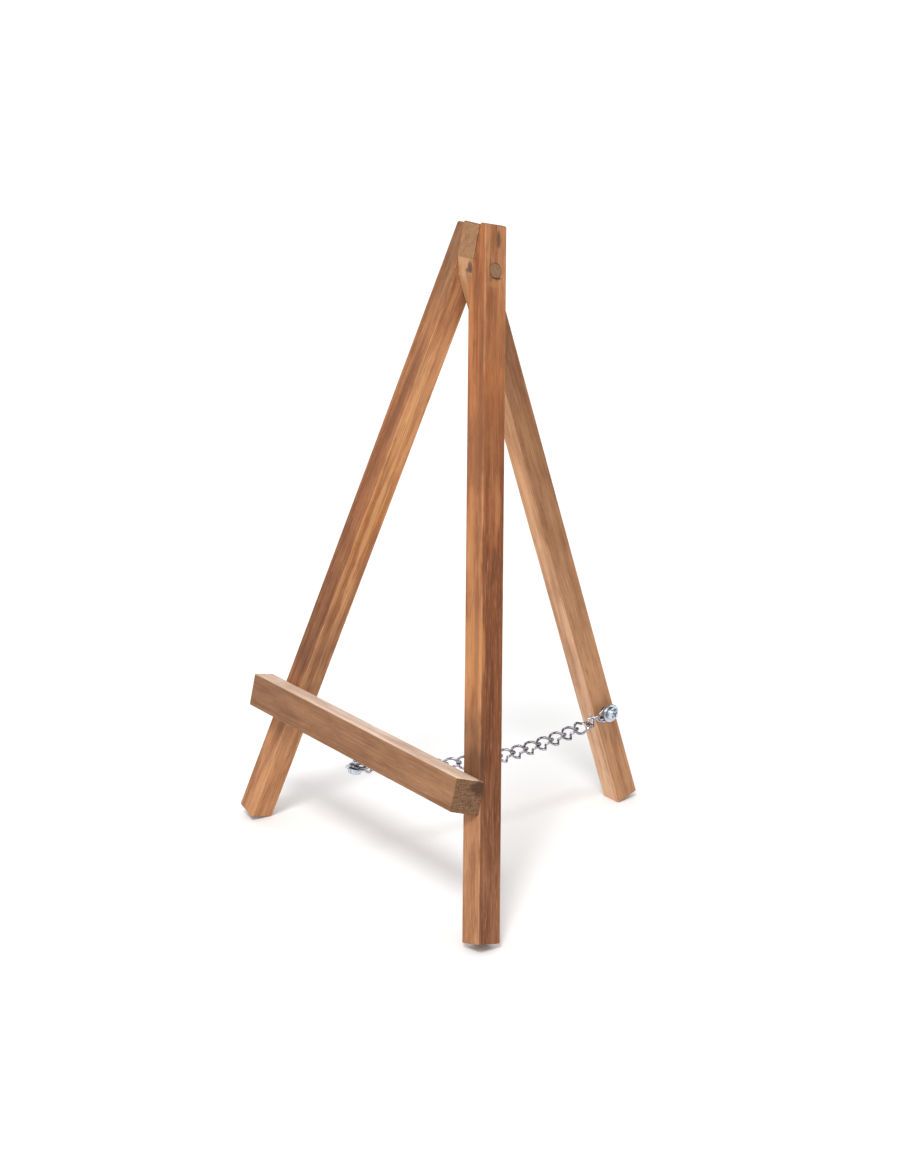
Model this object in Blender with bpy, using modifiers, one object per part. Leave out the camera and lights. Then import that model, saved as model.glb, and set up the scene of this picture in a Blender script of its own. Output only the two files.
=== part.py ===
"""A small wooden artist's easel: two front legs, a ledge bar, a folding rear leg and a stay chain.

Metres, +Z up. X runs across the easel, the front faces -Y and the feet stand on Z = 0.
The front legs and the ledge share one leaning frame (X across, Y back, Z up the slope).
"""

import math

import bmesh
import bpy
from mathutils import Matrix, Vector

MM = 0.001
GAP = 0.3 * MM  # between pieces that touch
HOLE_SIDES = 32
DRILL = 60 * MM  # longer than any leg is wide
SPARE = 40 * MM  # sawn off the head of a front leg

# Front legs
LEG_W = 15.0 * MM
LEG_D = 16.0 * MM
SPLAY = math.radians(15.9)  # each front leg from the centre plane
LEAN = math.radians(13.2)  # the front frame from the vertical
FOOT_X = 116.95 * MM  # centre of a foot's cut end
LEFT_TOP = 391.8 * MM  # heights along the slope
RIGHT_TOP = 394.0 * MM
EDGE_R = 0.8 * MM
CORNER_WEAR = 0.39 * MM  # height lost where a foot's lowest corner is rounded

# Rear leg and its pivot
REAR_W = 15.0 * MM
REAR_D = 15.8 * MM
REAR_SWING = math.radians(18.41)  # from the vertical, standing
REAR_LENGTH = 379.68 * MM  # pivot to foot
REAR_TOP = 392.9 * MM
PIVOT_UP = 368.8 * MM  # height along the slope
PIVOT_R = 4.0 * MM
BEVEL_EASE = 5.5 * MM  # flat that eases the heel of the head's bevel, each way

# Ledge bar
LEDGE_UP = 71.1 * MM  # its underside
LEDGE_H = 20.4 * MM
LEDGE_D = 13.9 * MM
LEDGE_LEFT = -113.3 * MM
LEDGE_RIGHT = 95.0 * MM
LEDGE_SKEW = 8.5 * MM  # its right end runs this much further at the back
LEDGE_EDGE_R = 1.0 * MM
PEG_R = 3.0 * MM
PEG_DEPTH = 9.0 * MM  # in each of the two pieces

# Pan-head screws with washers
SHANK_R = 2.0 * MM
SCREW_IN_WOOD = 10.5 * MM
SCREW_POINT = 3.0 * MM
WASHER_R = 5.75 * MM
WASHER_T = 1.0 * MM
WASHER_HOLE_R = 2.3 * MM
HEAD_R = 4.0 * MM
HEAD_H = 3.0 * MM
RECESS_W = 1.1 * MM
RECESS_SPAN = 4.4 * MM
RECESS_DEPTH = 1.7 * MM
RECESS_TURN = math.radians(20)
DOME_SHARE = 0.6  # of the head's height
HEAD_STEPS = 28  # round the screws
WASHER_STEPS = 36
FRONT_SCREW_X = -5.5 * MM
FRONT_STANDOFF = 5.2 * MM  # wood to the middle of the link's wire
REAR_SCREW_DOWN = 311.0 * MM  # below the pivot, along the leg
REAR_STANDOFF = 5.2 * MM

# Chain
WIRE_R = 0.8 * MM
LINK_HALF_W = 3.85 * MM  # to the middle of the wire
PITCH = 9.51 * MM
LINKS = 20
LAST_FRONT_LINK = 10  # the two halves part after this link
PART_OFFSET = 2.0 * MM  # sideways, between the two halves
END_SLOPE = math.radians(15.0)  # of the last link, down and forward from the rear screw

CUT = "cutters"


def clear():
    for old in list(bpy.data.objects):
        bpy.data.objects.remove(old, do_unlink=True)


def collection(name):
    made = bpy.data.collections.new(name)
    bpy.context.scene.collection.children.link(made)
    return made


def material(name, colour, roughness, metallic=0.0):
    made = bpy.data.materials.new(name)
    made.use_nodes = True
    shader = made.node_tree.nodes["Principled BSDF"]
    shader.inputs["Base Color"].default_value = (*colour, 1.0)
    shader.inputs["Roughness"].default_value = roughness
    shader.inputs["Metallic"].default_value = metallic
    return made


def empty(name, parent=None, location=(0, 0, 0), rotation=(0, 0, 0)):
    made = bpy.data.objects.new(name, None)
    made.empty_display_size = 0.01
    easel.objects.link(made)
    made.parent = parent
    made.location = location
    made.rotation_euler = rotation
    return made


def add(name, data, slot=None, parent=None, location=(0, 0, 0), rotation=(0, 0, 0)):
    made = bpy.data.objects.new(name, data)
    easel.objects.link(made)
    if slot is not None:
        data.materials.append(slot)
    made.parent = parent
    made.location = location
    made.rotation_euler = rotation
    return made


def mesh_from(bm, name, smooth=False):
    bmesh.ops.recalc_face_normals(bm, faces=bm.faces)
    for face in bm.faces:
        face.smooth = smooth
    data = bpy.data.meshes.new(name)
    bm.to_mesh(data)
    bm.free()
    return data


def slice_off(bm, point, normal):
    """Cuts a convex solid by a plane, and takes away the side that the normal points to."""
    everything = bm.verts[:] + bm.edges[:] + bm.faces[:]
    cut = bmesh.ops.bisect_plane(
        bm, geom=everything, plane_co=point, plane_no=normal, clear_outer=True
    )
    rim = [e for e in cut["geom_cut"] if isinstance(e, bmesh.types.BMEdge)]
    bmesh.ops.holes_fill(bm, edges=rim)


def prism(outline, axis, low, high):
    """A convex outline in the two other axes, run along the given axis."""
    bm = bmesh.new()
    rings = []
    for end in (low, high):
        ring = []
        for a, b in outline:
            at = [a, b]
            at.insert(axis, end)
            ring.append(bm.verts.new(at))
        rings.append(ring)
    bm.faces.new(rings[0])
    bm.faces.new(rings[1])
    for i in range(len(outline)):
        j = (i + 1) % len(outline)
        bm.faces.new((rings[0][i], rings[0][j], rings[1][j], rings[1][i]))
    return bm


def soften(obj, width):
    edge = obj.modifiers.new("worn edges", "BEVEL")
    edge.width = width
    edge.segments = 2
    edge.limit_method = "ANGLE"
    edge.angle_limit = math.radians(20)


def bore(obj, name, radius, depth, centre, axis, parent):
    """Bores a round hole. The axis is the drill's, X, Y or Z of the parent."""
    bm = bmesh.new()
    bmesh.ops.create_cone(
        bm, cap_ends=True, segments=HOLE_SIDES, radius1=radius, radius2=radius, depth=depth
    )
    turn = {"X": (0, math.pi / 2, 0), "Y": (math.pi / 2, 0, 0), "Z": (0, 0, 0)}[axis]
    cutter = bpy.data.objects.new(name, mesh_from(bm, name))
    cutters.objects.link(cutter)
    cutter.parent = parent
    cutter.location = centre
    cutter.rotation_euler = turn
    cutter.hide_render = True
    cutter.display_type = "WIRE"
    hole = obj.modifiers.new(name, "BOOLEAN")
    hole.operation = "DIFFERENCE"
    hole.solver = "EXACT"
    hole.object = cutter


def front_leg(name, side, top, slot):
    """A square bar, cut square at the foot, along the slope at the head and upright inside."""
    reach = top + SPARE
    bm = bmesh.new()
    bmesh.ops.create_cube(bm, size=1)
    bmesh.ops.scale(bm, vec=(LEG_W, LEG_D, reach), verts=bm.verts)
    bmesh.ops.translate(bm, vec=(0, 0, reach / 2), verts=bm.verts)
    place = Matrix.Translation((side * FOOT_X, 0, 0)) @ Matrix.Rotation(-side * SPLAY, 4, "Y")
    back = place.inverted()
    up = back.to_3x3() @ Vector((0, 0, 1))
    inward = back.to_3x3() @ Vector((-side, 0, 0))
    slice_off(bm, back @ Vector((0, 0, top)), up)
    slice_off(bm, back @ Vector((side * (REAR_W / 2 + GAP), 0, 0)), inward)
    leg = add(name, mesh_from(bm, name), slot, front)
    leg.location = (side * FOOT_X, 0, 0)
    leg.rotation_euler = (0, -side * SPLAY, 0)
    soften(leg, EDGE_R)
    centre = (side * DRILL / 2, 0, PIVOT_UP)
    bore(leg, name + "_pivot_hole", PIVOT_R + GAP, DRILL, centre, "X", front)
    centre = (peg_x(side), -LEG_D / 2 + PEG_DEPTH / 2, ledge_middle())
    depth = PEG_DEPTH + 2 * GAP
    bore(leg, name + "_peg_hole", PEG_R + GAP, depth, centre, "Y", front)
    return leg


def ledge_middle():
    return LEDGE_UP + LEDGE_H / 2


def peg_x(side):
    return side * (FOOT_X - ledge_middle() * math.tan(SPLAY))


def ledge_bar(slot):
    back = -LEG_D / 2 - GAP
    fore = back - LEDGE_D
    outline = [
        (LEDGE_LEFT, fore),
        (LEDGE_RIGHT, fore),
        (LEDGE_RIGHT + LEDGE_SKEW, back),
        (LEDGE_LEFT, back),
    ]
    bm = prism(outline, 2, LEDGE_UP, LEDGE_UP + LEDGE_H)
    bar = add("ledge_bar", mesh_from(bm, "ledge_bar"), slot, front)
    soften(bar, LEDGE_EDGE_R)
    for side, word in ((-1, "left"), (1, "right")):
        centre = (peg_x(side), back - PEG_DEPTH / 2, ledge_middle())
        depth = PEG_DEPTH + 2 * GAP
        bore(bar, "ledge_peg_hole_" + word, PEG_R + GAP, depth, centre, "Y", front)
    centre = (FRONT_SCREW_X, front_screw_y(), LEDGE_UP)
    depth = 2 * (SCREW_IN_WOOD + GAP)
    bore(bar, "ledge_screw_hole", SHANK_R + GAP, depth, centre, "Z", front)
    return bar


def front_screw_y():
    return -LEG_D / 2 - GAP - LEDGE_D / 2


def ledge_peg(side, word, slot):
    """A dowel across the joint of the ledge and a front leg."""
    length = 2 * PEG_DEPTH - 2 * GAP
    bm = bmesh.new()
    bmesh.ops.create_cone(
        bm, cap_ends=True, segments=24, radius1=PEG_R, radius2=PEG_R, depth=length
    )
    name = "ledge_peg_" + word
    at = (peg_x(side), -LEG_D / 2 - GAP / 2, ledge_middle())
    peg = add(name, mesh_from(bm, name), slot, front, at, (math.pi / 2, 0, 0))
    shade_round(peg)


def shade_round(obj):
    """Smooth round the barrel, with crisp ends."""
    for face in obj.data.polygons:
        face.use_smooth = len(face.vertices) <= 4
    obj.data.set_sharp_from_angle(angle=math.radians(40))


def pivot_dowel(slot):
    """The hinge pin. Its two ends are sawn flush with the splayed outer faces."""
    bm = bmesh.new()
    bmesh.ops.create_cone(
        bm, cap_ends=True, segments=HOLE_SIDES, radius1=PIVOT_R, radius2=PIVOT_R, depth=DRILL
    )
    bmesh.ops.rotate(bm, matrix=Matrix.Rotation(math.pi / 2, 3, "Y"), verts=bm.verts)
    for side in (-1, 1):
        outer = side * (FOOT_X - PIVOT_UP * math.tan(SPLAY) + LEG_W / 2 / math.cos(SPLAY))
        normal = Vector((side * math.cos(SPLAY), 0, math.sin(SPLAY)))
        slice_off(bm, Vector((outer, 0, 0)), normal)
    dowel = add("pivot_dowel", mesh_from(bm, "pivot_dowel"), slot, front, (0, 0, PIVOT_UP))
    shade_round(dowel)


def rear_leg(slot):
    """A bar on the pivot. Its head is bevelled flush with the front legs' front faces."""
    spread = LEAN + REAR_SWING
    half = REAR_D / 2
    along = Vector((math.sin(spread), math.cos(spread)))  # up the front plane, in this leg's Y, Z
    fore = Vector((-math.cos(spread), math.sin(spread)))
    plane = fore * (LEG_D / 2)
    heel = (-half - plane.x) / along.x  # where the bevel would meet the leg's front face
    eased_up = plane + along * (heel + BEVEL_EASE)
    eased_down = Vector((-half, (plane + along * heel).y - BEVEL_EASE))
    tip = plane + along * (REAR_TOP - PIVOT_UP)
    tip_back = tip - fore * ((half - tip.x) / math.cos(spread))
    outline = [
        (half, -REAR_LENGTH),
        (half, tip_back.y),
        tuple(tip),
        tuple(eased_up),
        tuple(eased_down),
        (-half, -REAR_LENGTH),
    ]
    bm = prism(outline, 0, -REAR_W / 2, REAR_W / 2)
    leg = add("rear_leg", mesh_from(bm, "rear_leg"), slot, fold)
    soften(leg, EDGE_R)
    bore(leg, "rear_pivot_hole", PIVOT_R + GAP, DRILL, (0, 0, 0), "X", fold)
    centre = (REAR_W / 2, 0, -REAR_SCREW_DOWN)
    depth = 2 * (SCREW_IN_WOOD + GAP)
    bore(leg, "rear_screw_hole", SHANK_R + GAP, depth, centre, "X", fold)
    return leg


def lathe(name, profile, steps, slot, parent, location, rotation):
    """Turns a profile of (radius, height) points about Z."""
    data = bpy.data.meshes.new(name)
    points = [(r, 0, z) for r, z in profile]
    data.from_pydata(points, [(i, i + 1) for i in range(len(points) - 1)], [])
    made = add(name, data, slot, parent, location, rotation)
    turn = made.modifiers.new("turn", "SCREW")
    turn.axis = "Z"
    turn.steps = steps
    turn.render_steps = steps
    turn.use_merge_vertices = True
    turn.merge_threshold = 0.00001
    turn.use_smooth_shade = True
    return made


def screw(name, standoff, slot, parent, location, rotation):
    """A pan-head screw. Its origin is on the wood, and +Z runs out to the head."""
    under = head_seat(standoff)
    top = under + HEAD_H
    profile = [(0, top)]
    dome_steps = 5
    for i in range(1, dome_steps + 1):
        a = math.radians(90) * i / dome_steps
        drop = HEAD_H * DOME_SHARE * (1 - math.cos(a))
        profile.append((HEAD_R * math.sin(a), top - drop))
    profile += [
        (HEAD_R, under),
        (SHANK_R, under),
        (SHANK_R, -SCREW_IN_WOOD + SCREW_POINT),
        (0, -SCREW_IN_WOOD),
    ]
    made = lathe(name, profile, HEAD_STEPS, slot, parent, location, rotation)
    for number in (1, 2):
        turn = RECESS_TURN + math.pi / 2 * number
        cross_slot(made, f"{name}_recess_{number}", top, turn)
    return made


def cross_slot(obj, name, top, turn):
    """One arm of a screw head's cross recess."""
    bm = bmesh.new()
    blade = bmesh.ops.create_cube(bm, size=1)["verts"]
    bmesh.ops.scale(bm, vec=(RECESS_SPAN, RECESS_W, 2 * RECESS_DEPTH), verts=blade)
    cutter = bpy.data.objects.new(name, mesh_from(bm, name))
    cutters.objects.link(cutter)
    cutter.parent = obj
    cutter.location = (0, 0, top)
    cutter.rotation_euler = (0, 0, turn)
    cutter.hide_render = True
    cutter.display_type = "WIRE"
    arm = obj.modifiers.new(name, "BOOLEAN")
    arm.operation = "DIFFERENCE"
    arm.solver = "EXACT"
    arm.object = cutter


def head_seat(standoff):
    """Height of the screw head's underside over the wood."""
    return standoff + WIRE_R + 2 * GAP + WASHER_T


def washer(name, standoff, slot, parent, location, rotation):
    low = standoff + WIRE_R + GAP
    high = low + WASHER_T
    chamfer = 0.2 * MM
    profile = [
        (WASHER_HOLE_R, high),
        (WASHER_R - chamfer, high),
        (WASHER_R, high - chamfer),
        (WASHER_R, low),
        (WASHER_HOLE_R, low),
        (WASHER_HOLE_R, high),
    ]
    return lathe(name, profile, WASHER_STEPS, slot, parent, location, rotation)


def link_curve(name, twist):
    """A closed link of round wire along X. Its plane turns by the twist along the straight sides."""
    half = PITCH / 2 + WIRE_R + GAP / 2
    straight = half - LINK_HALF_W
    bends, sides = 7, 4
    points = []
    for end in (1, -1):
        for i in range(bends + 1):
            a = math.radians(90) - math.pi * i / bends
            x = end * (straight + LINK_HALF_W * math.cos(a))
            points.append((x, end * LINK_HALF_W * math.sin(a)))
        for i in range(1, sides):
            points.append((end * straight * (1 - 2 * i / sides), -end * LINK_HALF_W))
    curve = bpy.data.curves.new(name, "CURVE")
    curve.dimensions = "3D"
    curve.bevel_depth = WIRE_R
    curve.bevel_resolution = 2
    spline = curve.splines.new("POLY")
    spline.points.add(len(points) - 1)
    spline.use_cyclic_u = True
    spline.use_smooth = True
    for point, (x, w) in zip(spline.points, points):
        share = min(max((x + straight) / (2 * straight), 0), 1)
        turn = twist * share
        point.co = (x, w * math.cos(turn), w * math.sin(turn), 1)
    return curve


def link_turns(number):
    """The angles of a link's plane at its two ends, from the horizontal, in degrees."""
    special = {
        1: (0, 0),
        2: (90, 135),
        LAST_FRONT_LINK: (45, 90),
        LAST_FRONT_LINK + 1: (90, 135),
        LINKS - 2: (45, 0),
        LINKS - 1: (90, 180),
        LINKS: (90, 90),
    }
    return special.get(number, (45, 135))


def chain_link(number, start, end, slot, parent):
    """One link between two junctions, given in world coordinates."""
    first, last = link_turns(number)
    twist = last - first
    if twist not in link_shapes:
        link_shapes[twist] = link_curve(f"link_{twist}", math.radians(twist))
        link_shapes[twist].materials.append(slot)
    along = (end - start).normalized()
    across = Vector((0, 0, 1)).cross(along).normalized()
    up = along.cross(across)
    frame = Matrix((along, across, up)).transposed()
    frame = frame @ Matrix.Rotation(math.radians(first), 3, "X")
    link = add(f"chain_link_{number:02d}", link_shapes[twist], None, parent)
    world = Matrix.Translation((start + end) / 2) @ frame.to_4x4()
    link.matrix_world = parent_matrix(parent).inverted() @ world
    return link


def parent_matrix(obj):
    """World matrix worked out from the chain of parents."""
    own = Matrix.LocRotScale(obj.location, obj.rotation_euler, None)
    return own if obj.parent is None else parent_matrix(obj.parent) @ own


def turn_per_link(span, chords, length):
    """The equal turn between chords of one length that brings a hanging row over the span."""
    low, high = 1e-5, math.pi / chords
    for _ in range(60):
        turn = (low + high) / 2
        reach = length * math.sin(chords * turn / 2) / math.sin(turn / 2)
        if reach > span:
            low = turn
        else:
            high = turn
    return turn


def hang(first, last, chords):
    """Junctions of a row of equal links that hangs between two points."""
    span = last - first
    along = span.normalized()
    turn = turn_per_link(span.length, chords, PITCH)
    down = (Vector((0, 0, -1)) + along * along.z).normalized()
    points = [first.copy()]
    for i in range(chords):
        a = turn * ((chords - 1) / 2 - i)
        points.append(points[-1] + (along * math.cos(a) + down * math.sin(a)) * PITCH)
    return points


def chain(slot):
    """All the links, from the screw under the ledge to the screw on the rear leg's right side."""
    inner = PITCH / 2 + GAP / 2  # from a link's middle to the inside of its end
    eye = inner - SHANK_R - GAP  # from a link's middle to the screw through it
    to_world = parent_matrix(front)
    screw_at = to_world @ Vector((FRONT_SCREW_X, front_screw_y(), LEDGE_UP - FRONT_STANDOFF))
    rear_at = parent_matrix(fold) @ Vector((REAR_W / 2 + REAR_STANDOFF, 0, -REAR_SCREW_DOWN))
    # The first link lies flat under the ledge, and the last flat beside the rear leg.
    flat = (rear_at - screw_at).normalized()
    slope = to_world.to_3x3() @ Vector((0, 0, 1))
    flat = (flat - slope * flat.dot(slope)).normalized()
    start = screw_at + flat * (eye + PITCH / 2)
    fore = Vector((0, -math.cos(END_SLOPE), -math.sin(END_SLOPE)))
    finish = rear_at + fore * (eye + PITCH / 2)
    row = hang(start, finish, LINKS - 2)
    apart = Vector((PART_OFFSET / 2, 0, 0))
    front_row = lean_to(row[:LAST_FRONT_LINK], -apart)
    rear_row = lean_to(row[LAST_FRONT_LINK - 1 :][::-1], apart)[::-1]
    radius = LINK_HALF_W - WIRE_R - GAP / 2  # from a junction to the middle of a link's bend

    swing = hinge("chain_front_swing", screw_at)
    chain_link(1, screw_at + flat * (eye - PITCH / 2), start, slot, swing)
    ahead = (front_row[1] - front_row[0]).normalized()
    drop = hinge("chain_front_drop", front_row[0] + ahead * radius)
    for i in range(LAST_FRONT_LINK - 1):
        chain_link(2 + i, front_row[i], front_row[i + 1], slot, drop)

    held = [rear_row[-1], rear_at + fore * (eye - PITCH / 2)]
    behind = (rear_row[-1] - rear_row[-2]).normalized()
    rear_drop = hinge("chain_rear_drop", rear_row[-2] + behind * radius)
    for i in range(len(rear_row) - 2):
        number = LAST_FRONT_LINK + 1 + i
        chain_link(number, rear_row[i], rear_row[i + 1], slot, rear_drop)
    chain_link(LINKS - 1, rear_row[-2], rear_row[-1], slot, rear_screw_frame)
    chain_link(LINKS, held[0], held[1], slot, rear_screw_frame)


def lean_to(points, shift):
    """Moves the last point of a row by the shift, and the others by their share."""
    count = len(points) - 1
    return [p + shift * (i / count) for i, p in enumerate(points)]


def hinge(name, place):
    """An empty at a chain joint, in world coordinates."""
    return empty(name, None, place)


clear()
easel = collection("artist_easel")
cutters = collection(CUT)
link_shapes = {}

foot_rise = LEG_W / 2 * math.sin(SPLAY) * math.cos(LEAN) + LEG_D / 2 * math.sin(LEAN)
foot_rise -= CORNER_WEAR
fore_edge = LEG_D / 2 * math.cos(LEAN) + LEG_W / 2 * math.sin(SPLAY) * math.sin(LEAN)
pivot_y = PIVOT_UP * math.sin(LEAN)
rear_edge = pivot_y + REAR_LENGTH * math.sin(REAR_SWING) + REAR_D / 2 * math.cos(REAR_SWING)
middle_y = (rear_edge - fore_edge) / 2

front = empty("front_frame", None, (0, -middle_y, foot_rise), (-LEAN, 0, 0))
fold = empty("fold_axis", None, (0, pivot_y - middle_y, foot_rise + PIVOT_UP * math.cos(LEAN)))
fold.rotation_euler = (REAR_SWING, 0, 0)
rear_screw_frame = empty("rear_leg_fittings", fold)

acacia = material("front_legs_wood", (0.30, 0.135, 0.065), 0.62)
ledge_wood = material("ledge_wood", (0.36, 0.19, 0.095), 0.6)
pale = material("rear_leg_wood", (0.45, 0.235, 0.115), 0.6)
dowel_wood = material("dowel_wood", (0.33, 0.24, 0.16), 0.7)
zinc = material("zinc_plate", (0.72, 0.74, 0.77), 0.3, 1.0)
chrome = material("chain_plate", (0.75, 0.75, 0.76), 0.22, 1.0)

front_leg("front_leg_left", -1, LEFT_TOP, acacia)
front_leg("front_leg_right", 1, RIGHT_TOP, acacia)
ledge_bar(ledge_wood)
ledge_peg(-1, "left", dowel_wood)
ledge_peg(1, "right", dowel_wood)
pivot_dowel(dowel_wood)
rear_leg(pale)

under_ledge = (FRONT_SCREW_X, front_screw_y(), LEDGE_UP)
beside_leg = (REAR_W / 2, 0, -REAR_SCREW_DOWN)
down = (math.pi, 0, 0)
right = (0, math.pi / 2, 0)
screw("front_screw", FRONT_STANDOFF, zinc, front, under_ledge, down)
washer("front_washer", FRONT_STANDOFF, zinc, front, under_ledge, down)
screw("rear_screw", REAR_STANDOFF, zinc, rear_screw_frame, beside_leg, right)
washer("rear_washer", REAR_STANDOFF, zinc, rear_screw_frame, beside_leg, right)
chain(chrome)
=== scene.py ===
"""The looks of a small wooden easel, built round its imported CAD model. Metres, +Z up."""

import math

import bmesh
import bpy
from mathutils import Matrix, Vector


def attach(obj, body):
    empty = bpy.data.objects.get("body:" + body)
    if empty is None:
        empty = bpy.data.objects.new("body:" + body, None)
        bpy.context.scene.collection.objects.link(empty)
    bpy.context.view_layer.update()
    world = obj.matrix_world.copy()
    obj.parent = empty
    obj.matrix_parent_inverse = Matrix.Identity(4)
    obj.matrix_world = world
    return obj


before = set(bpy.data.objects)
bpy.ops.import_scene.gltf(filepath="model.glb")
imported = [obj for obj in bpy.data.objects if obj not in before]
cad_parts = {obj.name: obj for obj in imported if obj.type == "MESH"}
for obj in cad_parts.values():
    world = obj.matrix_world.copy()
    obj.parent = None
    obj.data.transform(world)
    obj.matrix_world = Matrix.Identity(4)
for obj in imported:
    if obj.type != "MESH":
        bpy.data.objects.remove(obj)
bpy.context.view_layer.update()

MM = 0.001

# Camera, at the photo's viewing angle
CAM_AT = (1.1273, -0.8856, 0.6476)
CAM_AZIMUTH = math.radians(52.926)
CAM_ELEVATION = math.radians(18.578)
CAM_LENS = 77.25

# The bars' own frames: Z along the grain, X and Y across it
LEAN = math.radians(13.2)
SPLAY = math.radians(15.9)
FOOT_X = 116.95 * MM
SWING = math.radians(18.41)
FRONT = Matrix.Translation((0, -0.101681, 0.003437)) @ Matrix.Rotation(-LEAN, 4, "X")
PIVOT = Vector((0, -0.017465, 0.362493))
PIVOT_UP = 368.8 * MM
LEG = (15.0 * MM, 16.0 * MM)
REAR = (15.0 * MM, 15.8 * MM)
LEDGE = (20.4 * MM, 13.9 * MM)
LEDGE_UP = 81.3 * MM
LEDGE_FORE = -15.25 * MM
UNDER_LEDGE = Vector((-5.5 * MM, LEDGE_FORE, LEDGE_UP - LEDGE[0] / 2))
BESIDE_LEG = Vector((REAR[0] / 2, 0, -311.0 * MM))


def side_leg(side):
    turn = Matrix.Rotation(-side * SPLAY, 4, "Y")
    return FRONT @ Matrix.Translation((side * FOOT_X, 0, 0)) @ turn


LEFT_BAR = side_leg(-1)
RIGHT_BAR = side_leg(1)
REAR_BAR = Matrix.Translation(PIVOT) @ Matrix.Rotation(SWING, 4, "X")
LEDGE_BAR = (
    FRONT @ Matrix.Translation((0, LEDGE_FORE, LEDGE_UP)) @ Matrix.Rotation(math.pi / 2, 4, "Y")
)
DOWEL_BAR = (
    FRONT @ Matrix.Translation((0, 0, PIVOT_UP)) @ Matrix.Rotation(math.pi / 2, 4, "Y")
)

# The part of each screw that shows between the wood and the washer
SHANK_R = 2.0 * MM
THREAD_LENGTH = 6.2 * MM
THREAD_PITCH = 1.5 * MM
THREAD_W = 0.9 * MM
THREAD_H = 0.22 * MM
THREAD_STEPS = 28
THREAD_FADE = 8

# The chain's wire: its facets are joined, then rounded, then pushed out to the full size
WELD_GAP = 0.01 * MM
WIRE_GAIN = 0.08 * MM

# The light: a sun, and the strength of the even white surround
KEY_STRENGTH = 1.5
KEY_SIZE = math.radians(15)
KEY_AZIMUTH = math.radians(40)
KEY_ELEVATION = math.radians(54)
SURROUND = 0.8

# Wood noises in a bar's frame, as scales across and along the grain
SEED_STEP = (0.37, 0.53, 0.71)
WANDER = (45, 45, 8)
WANDER_REACH = (3 * MM, 3 * MM, 0)
BROAD = (150, 150, 8)
MOTTLE = (110, 110, 34)
FINE = (800, 800, 26)
FIBRE = (1500, 1500, 85)
PATCHES = (300, 300, 60)
SPECKS = (1500, 1500, 700)
RING_SPACING = 2.9 * MM
ARRIS_OUTER = 0.3 * MM
ARRIS_INNER = 1.05 * MM
STREAKS = ((0.0, (0.64, 0.55, 0.48)), (0.5, (1.0, 1.0, 1.0)), (1.0, (1.26, 1.36, 1.36)))
PORE = (0.08, 0.036, 0.018)
BRIGHT_FIBRE = (0.78, 0.46, 0.24)
WORN_EDGE = (0.66, 0.37, 0.19)
LEG_ENDS = ((0.13, 0.07, 0.04), (0.36, 0.21, 0.115))


class Nodes:
    """Short ways to add and link the nodes of one material."""

    def __init__(self, name):
        self.material = bpy.data.materials.new(name)
        self.material.use_nodes = True
        self.tree = self.material.node_tree
        self.shader = self.tree.nodes["Principled BSDF"]

    def add(self, kind, values=(), **settings):
        node = self.tree.nodes.new("ShaderNode" + kind)
        for key, value in settings.items():
            setattr(node, key, value)
        for socket, value in dict(values).items():
            self.put(node.inputs[socket], value)
        return node

    def put(self, socket, value):
        if isinstance(value, bpy.types.NodeSocket):
            self.tree.links.new(value, socket)
        else:
            socket.default_value = value

    def set(self, socket, value):
        self.put(self.shader.inputs[socket], value)

    def math(self, operation, a, b=0.0, c=0.0, clamp=False):
        node = self.add("Math", {0: a, 1: b, 2: c}, operation=operation, use_clamp=clamp)
        return node.outputs[0]

    def step(self, value, low, high):
        """0 below low and 1 above high, or the other way round if low is above high."""
        settings = {"Value": value, "From Min": low, "From Max": high}
        node = self.add("MapRange", settings, interpolation_type="SMOOTHSTEP")
        return node.outputs[0]

    def vector(self, operation, a, b=(0, 0, 0)):
        node = self.add("VectorMath", {0: a, 1: b}, operation=operation)
        return node.outputs["Value" if operation in ("DOT_PRODUCT", "LENGTH") else "Vector"]

    def scaled(self, vector, scale):
        return self.vector("MULTIPLY", vector, scale)

    def noise(self, vector, detail, roughness=0.5):
        settings = {"Vector": vector, "Scale": 1.0, "Detail": detail, "Roughness": roughness}
        return self.add("TexNoise", settings)

    def ramp(self, factor, stops):
        node = self.add("ValToRGB", {"Fac": factor})
        line = node.color_ramp.elements
        while len(line) < len(stops):
            line.new(0.5)
        for element, (place, colour) in zip(line, stops):
            element.position = place
            element.color = (*colour, 1.0)
        return node.outputs["Color"]

    def mix(self, factor, a, b, blend="MIX"):
        node = self.add("Mix", data_type="RGBA", blend_type=blend)
        self.put(node.inputs["Factor"], factor)
        for socket, value in ((6, a), (7, b)):
            if isinstance(value, tuple):
                value = (*value, 1.0)
            self.put(node.inputs[socket], value)
        return node.outputs[2]

    def bump(self, height, strength, distance):
        values = {"Height": height, "Strength": strength, "Distance": distance}
        self.set("Normal", self.add("Bump", values).outputs[0])


def in_bar(n, bar):
    """The point on the surface, in a bar's own frame."""
    place = n.add("TexCoord").outputs["Object"]
    values = {"Vector": place, "Location": bar.translation, "Rotation": bar.to_euler("XYZ")}
    return n.add("Mapping", values, vector_type="TEXTURE").outputs[0]


def along(n, bar, axis):
    """How much the surface faces an axis of the bar, from -1 to 1."""
    normal = n.add("TexCoord").outputs["Normal"]
    return n.vector("DOT_PRODUCT", normal, tuple(bar.to_3x3().col[axis]))


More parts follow.
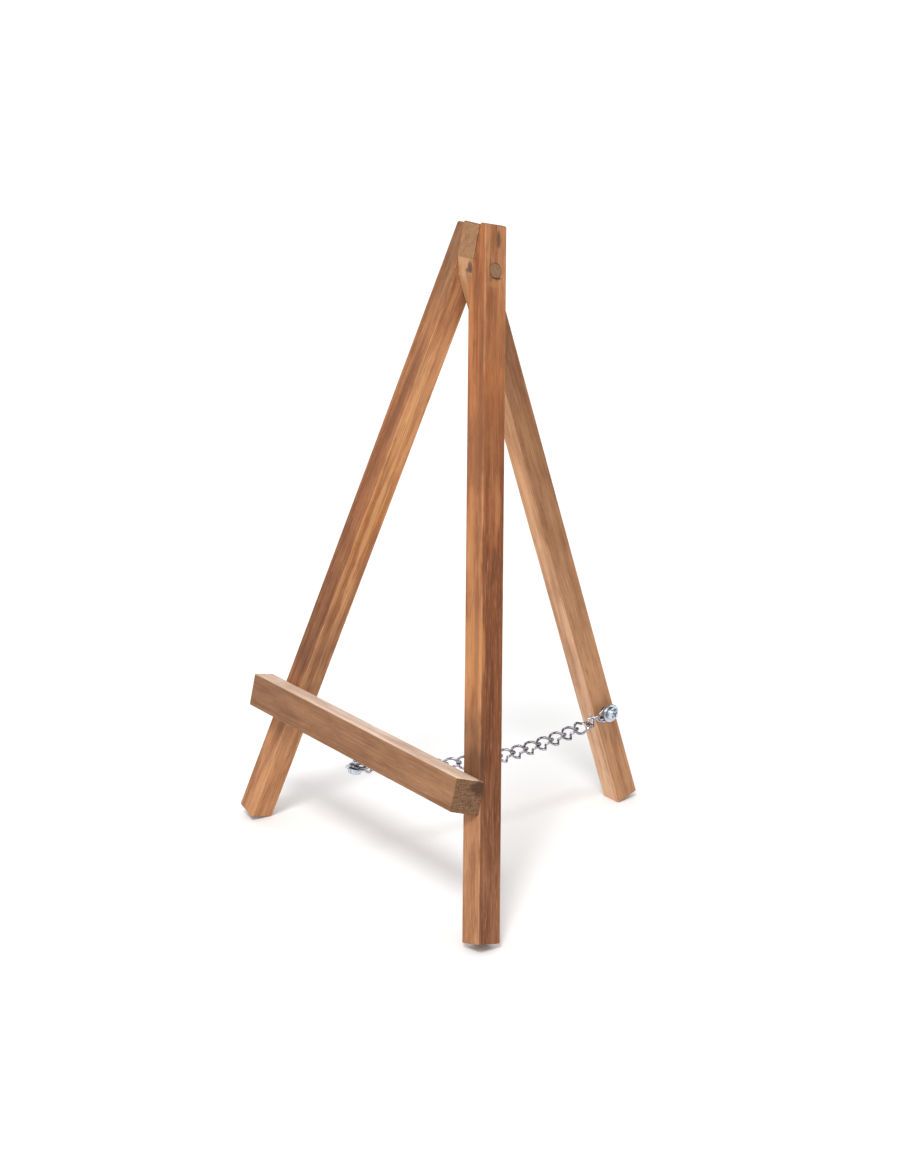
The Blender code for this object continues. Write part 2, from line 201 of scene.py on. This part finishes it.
def wood(
    name, bar, size, tones, ends, seed, grain=1.0, pith=(-0.02, 0.03), span=(0.0, 0.4), patches_and_painted_shade=()
):
    """Sawn and stained wood.

    Tones give each long side's colours along the bar, over the span from its first to its last
    height, and ends are the dark and light of the end grain. Pith is the growth rings' centre.
    Patches are centre, reach, colour and strength, in millimetres in the bar's frame; some are
    stains and streaks, some are painted shade.
    """
    n = Nodes(name)
    place = in_bar(n, bar)
    shift = tuple(seed * step for step in SEED_STEP)
    moved = n.vector("ADD", place, shift)
    wander = n.noise(n.scaled(moved, WANDER), 2)
    wander = n.vector("SUBTRACT", wander.outputs["Color"], (0.5, 0.5, 0.5))
    grained = n.vector("ADD", moved, n.scaled(wander, WANDER_REACH))
    broad = n.noise(n.scaled(grained, BROAD), 3, 0.6).outputs["Fac"]
    mottle = n.noise(n.scaled(grained, MOTTLE), 4, 0.6).outputs["Fac"]
    fine = n.noise(n.scaled(grained, FINE), 4, 0.65).outputs["Fac"]
    fibre = n.noise(n.scaled(grained, FIBRE), 3, 0.6).outputs["Fac"]

    # Growth rings round a pith that lies outside the bar
    off = n.vector("SUBTRACT", grained, (shift[0] + pith[0], shift[1] + pith[1], 0))
    radius = n.vector("LENGTH", n.scaled(off, (1, 1, 0)))
    turns = n.math("MULTIPLY_ADD", radius, 1 / RING_SPACING, n.math("MULTIPLY", broad, 1.6))
    ring = n.math("FRACT", turns)
    late = n.math("MULTIPLY", n.step(ring, 0.35, 0.85), n.step(ring, 1.0, 0.9))

    split = n.add("SeparateXYZ", {0: place})
    up = n.add("MapRange", {"Value": split.outputs["Z"], "From Min": span[0], "From Max": span[1]})
    up = up.outputs[0]
    facing = {"x": along(n, bar, 0), "y": along(n, bar, 1)}
    colour = None
    for side, stops in tones.items():
        shade = n.ramp(up, stops)
        if colour is None:
            colour = shade
            continue
        towards = facing[side[1]]
        mask = n.step(towards, 0.4, 0.8) if side[0] == "+" else n.step(towards, -0.4, -0.8)
        colour = n.mix(mask, colour, shade)

    value = n.math("MULTIPLY_ADD", broad, 0.42, n.math("MULTIPLY", fine, 0.28))
    value = n.math("MULTIPLY_ADD", mottle, 0.3, value)
    value = n.math("SUBTRACT", value, n.math("MULTIPLY", late, 0.02 * grain))
    spread = 0.135 / grain
    streaks = n.ramp(n.step(value, 0.5 - spread, 0.5 + spread), STREAKS)
    colour = n.mix(1.0, colour, streaks, "MULTIPLY")
    pore = n.step(fibre, 0.54, 0.72)
    colour = n.mix(n.math("MULTIPLY", pore, 0.42 * grain), colour, PORE)
    bright = n.math("MULTIPLY", n.step(fibre, 0.46, 0.3), 0.2 * grain)
    colour = n.mix(bright, colour, BRIGHT_FIBRE)

    # Worn arrises along the bar
    edges = []
    for axis, width in (("X", size[0]), ("Y", size[1])):
        away = n.math("ABSOLUTE", split.outputs[axis])
        edges.append(n.math("SUBTRACT", width / 2, away))
    arris = n.math("ADD", edges[0], edges[1])
    patchy = n.noise(n.scaled(moved, PATCHES), 3, 0.6).outputs["Fac"]
    at_arris = n.step(arris, ARRIS_INNER, ARRIS_OUTER)
    worn = n.math("MULTIPLY", at_arris, n.step(patchy, 0.36, 0.6))
    colour = n.mix(n.math("MULTIPLY", worn, 0.5), colour, WORN_EDGE)

    # Cut ends
    end = n.step(n.math("ABSOLUTE", along(n, bar, 2)), 0.38, 0.6)
    speck = n.noise(n.scaled(moved, SPECKS), 3, 0.7).outputs["Fac"]
    cut = n.ramp(speck, [(0.3, ends[0]), (0.7, ends[1])])
    cut = n.mix(n.math("MULTIPLY", late, 0.22), cut, ends[0])
    colour = n.mix(end, colour, cut)

    for centre, reach, tint, strength in patches_and_painted_shade:
        gap = n.vector("SUBTRACT", place, mm(*centre))
        gap = n.vector("LENGTH", n.vector("DIVIDE", gap, mm(*reach)))
        gap = n.math("ADD", gap, n.math("MULTIPLY", n.math("SUBTRACT", patchy, 0.5), 0.9))
        colour = n.mix(n.math("MULTIPLY", n.step(gap, 1.0, 0.45), strength), colour, tint)

    n.set("Base Color", colour)
    rough = n.math("MULTIPLY_ADD", fine, 0.25, 0.45)
    n.set("Roughness", n.math("ADD", rough, n.math("MULTIPLY", end, 0.25), clamp=True))
    n.set("Specular IOR Level", 0.2)
    height = n.math("MULTIPLY_ADD", fine, 0.6, n.math("MULTIPLY", pore, -0.8))
    height = n.math("ADD", height, n.math("MULTIPLY", n.math("MULTIPLY", speck, end), 1.5))
    n.bump(height, 0.35, 0.25 * MM)
    return n.material


def metal(name, colour, dull, roughness, seed, scratch, edge):
    """Plated steel with a faint mottle and fine scratches. Edge darkens it at grazing angles."""
    n = Nodes(name)
    place = n.vector("ADD", n.add("TexCoord").outputs["Object"], (seed, seed, seed))
    cloud = n.noise(n.scaled(place, (240, 240, 240)), 4, 0.6).outputs["Fac"]
    lines = n.noise(n.scaled(place, (scratch, scratch * 4, scratch)), 3, 0.7).outputs["Fac"]
    n.set("Base Color", n.mix(n.step(cloud, 0.42, 0.72), colour, dull))
    n.set("Metallic", 1.0)
    n.set("Specular Tint", (edge, edge, edge, 1.0))
    worn = n.math("MULTIPLY_ADD", lines, 0.14, roughness - 0.07)
    n.set("Roughness", n.math("MULTIPLY_ADD", cloud, 0.12, worn))
    n.bump(n.math("MULTIPLY_ADD", lines, 0.6, n.math("MULTIPLY", cloud, 0.8)), 0.12, 0.06 * MM)
    return n.material


def paint(material, *names):
    """Gives CAD nodes a finished material in place of their own."""
    for name in names:
        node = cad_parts[name]
        for slot in node.material_slots:
            slot.material = material


def grey(value):
    return (value, value, value)


def mm(*values):
    return tuple(v * MM for v in values)


def add_object(name, data):
    made = bpy.data.objects.new(name, data)
    bpy.context.scene.collection.objects.link(made)
    return made


def direction(azimuth, elevation):
    """The way to a point seen at this azimuth from the front (-Y) and this elevation."""
    level = math.cos(elevation)
    return Vector((math.sin(azimuth) * level, -math.cos(azimuth) * level, math.sin(elevation)))


def face_along(made, way):
    made.rotation_mode = "QUATERNION"
    made.rotation_quaternion = way.to_track_quat("-Z", "Y")


def make_camera():
    data = bpy.data.cameras.new("camera")
    data.lens = CAM_LENS
    data.sensor_width = 36.0
    camera = add_object("camera", data)
    camera.location = CAM_AT
    face_along(camera, -direction(CAM_AZIMUTH, CAM_ELEVATION))
    data.clip_start, data.clip_end = 0.05, 100.0
    bpy.context.scene.camera = camera


def make_studio():
    """A white floor, one soft sun, and a surround that is even white except in reflections."""
    bm = bmesh.new()
    bmesh.ops.create_grid(bm, x_segments=8, y_segments=8, size=20.0)
    data = bpy.data.meshes.new("floor")
    bm.to_mesh(data)
    bm.free()
    floor = add_object("floor", data)
    n = Nodes("studio_floor")
    cloud = n.noise(n.scaled(n.add("TexCoord").outputs["Object"], (3, 3, 3)), 3).outputs["Fac"]
    n.set("Base Color", n.ramp(cloud, [(0.3, grey(0.955)), (0.7, grey(0.975))]))
    n.set("Roughness", 0.95)
    n.set("Specular IOR Level", 0.0)
    data.materials.append(n.material)

    light = bpy.data.lights.new("key", "SUN")
    light.energy = KEY_STRENGTH
    light.angle = KEY_SIZE
    key = add_object("key", light)
    towards = direction(KEY_AZIMUTH, KEY_ELEVATION)
    face_along(key, -towards)
    key.location = towards * 2

    world = bpy.data.worlds.new("studio")
    bpy.context.scene.world = world
    world.use_nodes = True
    tree = world.node_tree
    even = tree.nodes["Background"]
    even.inputs["Color"].default_value = (1.0, 1.0, 1.0, 1.0)
    even.inputs["Strength"].default_value = SURROUND
    # Glossy rays see a room of bright panels between dark walls in place of the even white
    room = tree.nodes.new("ShaderNodeBackground")
    place = tree.nodes.new("ShaderNodeTexCoord")
    panels = tree.nodes.new("ShaderNodeTexNoise")
    panels.inputs["Scale"].default_value = 2.4
    panels.inputs["Detail"].default_value = 1.0
    levels = tree.nodes.new("ShaderNodeValToRGB")
    levels.color_ramp.elements[0].position = 0.52
    levels.color_ramp.elements[0].color = (0.03, 0.03, 0.035, 1)
    levels.color_ramp.elements[1].position = 0.60
    levels.color_ramp.elements[1].color = (3.2, 3.24, 3.3, 1)
    path = tree.nodes.new("ShaderNodeLightPath")
    choice = tree.nodes.new("ShaderNodeMixShader")
    link = tree.links.new
    link(place.outputs["Generated"], panels.inputs["Vector"])
    link(panels.outputs["Fac"], levels.inputs["Fac"])
    link(levels.outputs["Color"], room.inputs["Color"])
    link(path.outputs["Is Glossy Ray"], choice.inputs["Fac"])
    link(even.outputs[0], choice.inputs[1])
    link(room.outputs[0], choice.inputs[2])
    link(choice.outputs[0], tree.nodes["World Output"].inputs["Surface"])

    bpy.context.scene.view_settings.view_transform = "Standard"


def finish_wood():
    """Each bar's stain, in the tones its sides have along the grain, with painted shade in places
    and a partly painted sheen on the ledge's top.
    """
    paint(
        wood(
            "right_leg_wood",
            RIGHT_BAR,
            LEG,
            {
                "+x": (
                    (0.08, (0.24, 0.092, 0.041)),
                    (0.29, (0.172, 0.055, 0.02)),
                    (0.55, (0.264, 0.09, 0.034)),
                    (0.82, (0.394, 0.145, 0.051)),
                    (0.97, (0.378, 0.16, 0.068)),
                ),
                "-y": (
                    (0.05, (0.50, 0.24, 0.112)),
                    (0.15, (0.40, 0.182, 0.085)),
                    (0.35, (0.431, 0.172, 0.068)),
                    (0.55, (0.428, 0.177, 0.070)),
                    (0.82, (0.345, 0.114, 0.037)),
                ),
                "-x": ((0.1, (0.42, 0.18, 0.08)), (0.9, (0.46, 0.19, 0.08))),
                "+y": ((0.1, (0.33, 0.14, 0.065)), (0.9, (0.40, 0.16, 0.065))),
            },
            LEG_ENDS,
            1.0,
            patches_and_painted_shade=(
                ((7.5, 1.9, 399.5), (3, 1.7, 6.5), (0.085, 0.045, 0.028), 0.75),
                ((7.5, 0.6, 377.2), (3, 4.8, 1.35), (0.07, 0.032, 0.018), 0.85),
                ((7.5, -3.6, 381.5), (3, 1.6, 6.0), (0.15, 0.07, 0.035), 0.6),
                ((7.5, -1.0, 373.4), (3, 6.0, 2.6), (0.50, 0.24, 0.10), 0.3),
                ((7.5, 0, 314), (3, 20, 26), (0.46, 0.18, 0.064), 0.25),
                ((7.5, 3.0, 250), (3, 3.0, 22), (0.48, 0.20, 0.08), 0.5),
                ((7.5, 1.5, 214), (3, 2.2, 12), (0.10, 0.04, 0.02), 0.5),
                # Painted shade on the front face round the ledge, darkest just above it, over a
                # real dark stain
                ((0, -8, 104), (20, 4, 40), (0.10, 0.042, 0.02), 0.5),
                ((0, -8, 98), (20, 4, 16), (0.07, 0.03, 0.014), 0.4),
                ((0, -8, 277), (20, 4, 30), (0.24, 0.09, 0.036), 0.4),
                ((0, -8, 165), (20, 4, 28), (0.56, 0.25, 0.09), 0.5),
                ((7.5, 0, 347), (3, 20, 28), (0.25, 0.09, 0.034), 0.4),
                ((7.5, 0, 285), (3, 20, 32), (0.19, 0.065, 0.025), 0.35),
                ((4.6, -8, 300), (2.4, 3, 90), (0.19, 0.07, 0.03), 0.55),
                ((3.6, -8, 180), (2.6, 3, 60), (0.24, 0.09, 0.036), 0.45),
                ((-4.5, -8, 345), (3.0, 3, 36), (0.56, 0.22, 0.075), 0.5),
                ((-3.0, -8, 228), (3.4, 3, 45), (0.56, 0.235, 0.09), 0.45),
                ((1.0, -8, 372), (4.5, 3, 14), (0.22, 0.085, 0.035), 0.4),
            ),
        ),
        "front_leg_right",
    )
    paint(
        wood(
            "left_leg_wood",
            LEFT_BAR,
            LEG,
            {
                "+x": (
                    (0.09, (0.485, 0.225, 0.102)),
                    (0.30, (0.428, 0.208, 0.103)),
                    (0.54, (0.537, 0.224, 0.077)),
                    (0.81, (0.651, 0.322, 0.149)),
                    (0.96, (0.44, 0.20, 0.09)),
                ),
                "-y": (
                    (0.12, (0.43, 0.194, 0.086)),
                    (0.20, (0.40, 0.17, 0.075)),
                    (0.28, (0.205, 0.08, 0.034)),
                    (0.54, (0.279, 0.101, 0.039)),
                    (0.85, (0.38, 0.155, 0.062)),
                    (0.98, (0.25, 0.115, 0.055)),
                ),
                "-x": ((0.1, (0.36, 0.15, 0.068)), (0.9, (0.33, 0.13, 0.056))),
                "+y": ((0.1, (0.42, 0.18, 0.08)), (0.9, (0.45, 0.19, 0.08))),
            },
            LEG_ENDS,
            2.0,
            pith=(0.03, 0.02),
            patches_and_painted_shade=(
                ((7.5, -1.0, 215), (3, 2.6, 60), (0.78, 0.42, 0.19), 0.5),
                ((7.5, 3.5, 318), (3, 2.6, 45), (0.72, 0.36, 0.16), 0.45),
                ((7.5, 5.0, 180), (3, 2.4, 70), (0.24, 0.10, 0.045), 0.5),
                ((2.0, -8, 300), (3.0, 3, 60), (0.17, 0.065, 0.03), 0.5),
            ),
        ),
        "front_leg_left",
    )
    paint(
        wood(
            "ledge_bar_wood",
            LEDGE_BAR,
            LEDGE,
            {
                "-y": ((0.1, (0.267, 0.126, 0.061)), (0.9, (0.286, 0.137, 0.067))),
                # The top (-x) is painted far paler than the sides: partly paler wood, partly a
                # painted sheen from the light above
                "-x": (
                    (0.1, (0.667, 0.48, 0.36)),
                    (0.5, (0.756, 0.571, 0.46)),
                    (0.9, (0.69, 0.503, 0.383)),
                ),
                "+x": ((0.1, (0.30, 0.15, 0.075)), (0.9, (0.33, 0.165, 0.085))),
                "+y": ((0.1, (0.34, 0.17, 0.085)), (0.9, (0.32, 0.16, 0.08))),
            },
            ((0.06, 0.029, 0.016), (0.31, 0.165, 0.086)),
            3.0,
            grain=0.7,
            pith=(0.05, 0.01),
            span=(-0.1133, 0.1031),
            patches_and_painted_shade=(
                ((-5.8, 4.2, 103), (6.5, 5.6, 6), (0.06, 0.028, 0.015), 0.8),
                ((2.6, -1.0, 103), (4.5, 4.4, 6), (0.10, 0.048, 0.027), 0.6),
            ),
        ),
        "ledge_bar",
    )
    paint(
        wood(
            "rear_bar_wood",
            REAR_BAR,
            REAR,
            {
                "-y": (
                    (0.15, (0.67, 0.394, 0.241)),
                    (0.6, (0.637, 0.332, 0.166)),
                    (0.95, (0.50, 0.25, 0.12)),
                ),
                "+x": (
                    (0.15, (0.42, 0.205, 0.1)),
                    (0.6, (0.325, 0.153, 0.072)),
                    (0.9, (0.274, 0.116, 0.051)),
                ),
                "-x": ((0.1, (0.40, 0.19, 0.09)), (0.9, (0.40, 0.18, 0.08))),
                "+y": ((0.1, (0.42, 0.2, 0.095)), (0.9, (0.40, 0.18, 0.085))),
            },
            ((0.15, 0.08, 0.042), (0.41, 0.226, 0.12)),
            4.0,
            grain=0.8,
            pith=(0.02, -0.04),
            span=(-0.38, 0.02),
            patches_and_painted_shade=(
                # Painted shade where the right leg shades the rear leg's bevel, with a real chip
                # in the wood below it
                ((4.6, -7.8, 3.4), (3.4, 4.0, 4.6), (0.085, 0.05, 0.035), 0.8),
                ((3.0, -7.8, 0.6), (4.6, 4.0, 1.9), (0.10, 0.056, 0.036), 0.7),
                ((-2.0, -7.8, -4.0), (3.4, 4.0, 4.5), (0.60, 0.36, 0.20), 0.45),
            ),
        ),
        "rear_leg",
    )
    paint(
        wood(
            "dowel_end_wood",
            DOWEL_BAR,
            (0.1, 0.1),
            {"-y": ((0.0, (0.45, 0.27, 0.15)), (1.0, (0.45, 0.27, 0.15)))},
            ((0.15, 0.085, 0.047), (0.37, 0.21, 0.115)),
            5.0,
        ),
        "pivot_dowel",
        "ledge_peg_left",
        "ledge_peg_right",
    )


def thread(name, body, start, axis, length, material):
    """A helical ridge on a screw's shank, from start along axis, riding on a body."""
    turn = axis.to_track_quat("Z", "Y").to_matrix().to_4x4()
    steps = round((length - THREAD_W) / THREAD_PITCH * THREAD_STEPS)
    bm = bmesh.new()
    rings = []
    for i in range(steps + 1):
        a = 2 * math.pi * i / THREAD_STEPS
        up = THREAD_W / 2 + THREAD_PITCH * i / THREAD_STEPS
        crest = THREAD_H * min(1, i / THREAD_FADE, (steps - i) / THREAD_FADE)
        profile = ((-THREAD_H, -THREAD_W / 2), (crest, 0), (-THREAD_H, THREAD_W / 2))
        ring = []
        for out, rise in profile:
            r = SHANK_R + out
            ring.append(bm.verts.new((r * math.cos(a), r * math.sin(a), up + rise)))
        rings.append(ring)
    for a, b in zip(rings, rings[1:]):
        for j in range(3):
            k = (j + 1) % 3
            bm.faces.new((a[j], a[k], b[k], b[j]))
    bm.faces.new(rings[0])
    bm.faces.new(rings[-1])
    bmesh.ops.recalc_face_normals(bm, faces=bm.faces)
    bm.transform(Matrix.Translation(start) @ turn)
    data = bpy.data.meshes.new(name)
    bm.to_mesh(data)
    bm.free()
    data.materials.append(material)
    piece = add_object(name, data)
    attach(piece, body)


make_camera()
make_studio()
finish_wood()

links = [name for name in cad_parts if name.startswith("chain_link_")]
chrome = metal("chain_plating", (0.46, 0.44, 0.48), (0.16, 0.145, 0.175), 0.1, 0.2, 900.0, 0.35)
paint(chrome, *links)
zinc = metal("zinc_plating", (0.60, 0.66, 0.71), (0.38, 0.43, 0.48), 0.2, 0.7, 1400.0, 0.7)
paint(zinc, "front_screw", "rear_screw", "front_washer", "rear_washer")
down = -FRONT.to_3x3().col[2]
right = REAR_BAR.to_3x3().col[0]
thread("front_screw_thread", "front", FRONT @ UNDER_LEDGE, down, THREAD_LENGTH, zinc)
thread("rear_screw_thread", "rear", REAR_BAR @ BESIDE_LEG, right, THREAD_LENGTH, zinc)

for name in links:
    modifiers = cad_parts[name].modifiers
    joined = modifiers.new("joined facets", "WELD")
    joined.merge_threshold = WELD_GAP
    rounder = modifiers.new("rounder wire", "SUBSURF")
    rounder.levels = 1
    rounder.render_levels = 1
    fuller = modifiers.new("full wire", "DISPLACE")
    fuller.mid_level = 0.0
    fuller.strength = WIRE_GAIN

bpy.context.view_layer.update()
